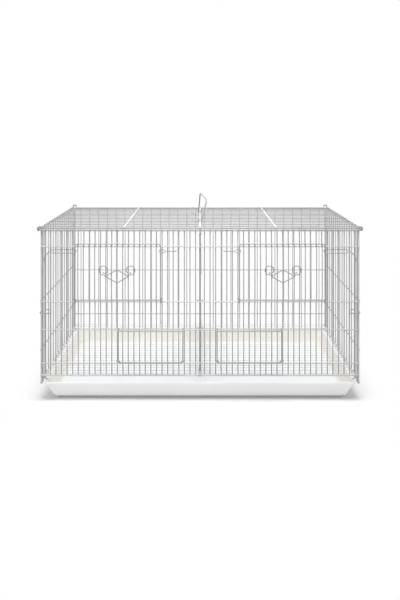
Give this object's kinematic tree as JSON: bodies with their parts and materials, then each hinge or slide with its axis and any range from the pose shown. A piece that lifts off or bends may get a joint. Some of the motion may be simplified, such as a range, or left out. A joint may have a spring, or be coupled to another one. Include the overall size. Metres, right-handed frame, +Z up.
{
  "type": "wire bird cage",
  "caption": "Wide rectangular wire bird cage with a middle divider, drop-down front doors, feeder flaps, a carry handle, a floor grate and a slide-out tray.",
  "frame": {"origin": "on the surface that the tray's feet stand on, under the middle of the cage", "axes": "+X to the cage's right as seen from the front, +Y from the doors to the back, +Z up"},
  "size_m": [0.7806, 0.4305, 0.4761],
  "materials": {
    "white_wire": "smooth white coating on steel wire",
    "tray_plastic": "smooth warm white moulding"
  },
  "bodies": {
    "cage": {"front_panel": "white_wire", "back_panel": "white_wire", "left_panel": "white_wire", "right_panel": "white_wire", "top_panel": "white_wire", "divider_panel": "white_wire", "left_hinge_rod": "white_wire", "right_hinge_rod": "white_wire"},
    "tray": {"tray": "tray_plastic"},
    "floor_grate": {"floor_grate": "white_wire"},
    "carry_handle": {"carry_handle": "white_wire"},
    "left_upper_door": {"left_upper_door": "white_wire", "left_door_ornament": "white_wire"},
    "left_feeder_door": {"left_feeder_door": "white_wire"},
    "left_corner_clip": {"left_corner_clip": "white_wire"},
    "left_inner_latch": {"left_inner_latch": "white_wire"},
    "left_outer_latch": {"left_outer_latch": "white_wire"},
    "right_upper_door": {"right_upper_door": "white_wire", "right_door_ornament": "white_wire"},
    "right_feeder_door": {"right_feeder_door": "white_wire"},
    "right_corner_clip": {"right_corner_clip": "white_wire"},
    "right_inner_latch": {"right_inner_latch": "white_wire"},
    "right_outer_latch": {"right_outer_latch": "white_wire"}
  },
  "joints": [
    {"name": "tray_slide", "type": "slide", "parent": "cage", "child": "tray", "axis": [0, -1, 0], "range_m": [0, 0.36]},
    {"name": "floor_grate_slide", "type": "slide", "parent": "cage", "child": "floor_grate", "axis": [0, -1, 0], "range_m": [0, 0.36]},
    {"name": "carry_handle_swing", "type": "hinge", "parent": "cage", "child": "carry_handle", "pos_m": [0, 0, 0.4161], "axis": [0, 1, 0], "range_deg": [-88, 68]},
    {"name": "left_upper_door_swing", "type": "hinge", "parent": "cage", "child": "left_upper_door", "pos_m": [0, -0.206, 0.24], "axis": [1, 0, 0], "range_deg": [0, 105]},
    {"name": "left_feeder_door_swing", "type": "hinge", "parent": "cage", "child": "left_feeder_door", "pos_m": [0, -0.206, 0.1734], "axis": [-1, 0, 0], "range_deg": [0, 95]},
    {"name": "left_corner_clip_turn", "type": "hinge", "parent": "cage", "child": "left_corner_clip", "pos_m": [-0.379, -0.1987, 0.213], "axis": [0, 0, -1], "range_deg": [0, 80]},
    {"name": "left_inner_latch_turn", "type": "hinge", "parent": "left_upper_door", "child": "left_inner_latch", "pos_m": [-0.094, -0.2113, 0.3615], "axis": [0, 0, -1], "range_deg": [0, 120]},
    {"name": "left_outer_latch_turn", "type": "hinge", "parent": "left_upper_door", "child": "left_outer_latch", "pos_m": [-0.2976, -0.2113, 0.3615], "axis": [0, 0, 1], "range_deg": [0, 120]},
    {"name": "right_upper_door_swing", "type": "hinge", "parent": "cage", "child": "right_upper_door", "pos_m": [0, -0.206, 0.24], "axis": [1, 0, 0], "range_deg": [0, 105]},
    {"name": "right_feeder_door_swing", "type": "hinge", "parent": "cage", "child": "right_feeder_door", "pos_m": [0, -0.206, 0.1734], "axis": [-1, 0, 0], "range_deg": [0, 95]},
    {"name": "right_corner_clip_turn", "type": "hinge", "parent": "cage", "child": "right_corner_clip", "pos_m": [0.379, -0.1987, 0.213], "axis": [0, 0, 1], "range_deg": [0, 80]},
    {"name": "right_inner_latch_turn", "type": "hinge", "parent": "right_upper_door", "child": "right_inner_latch", "pos_m": [0.094, -0.2113, 0.3615], "axis": [0, 0, 1], "range_deg": [0, 120]},
    {"name": "right_outer_latch_turn", "type": "hinge", "parent": "right_upper_door", "child": "right_outer_latch", "pos_m": [0.2976, -0.2113, 0.3615], "axis": [0, 0, -1], "range_deg": [0, 120]}
  ]
}
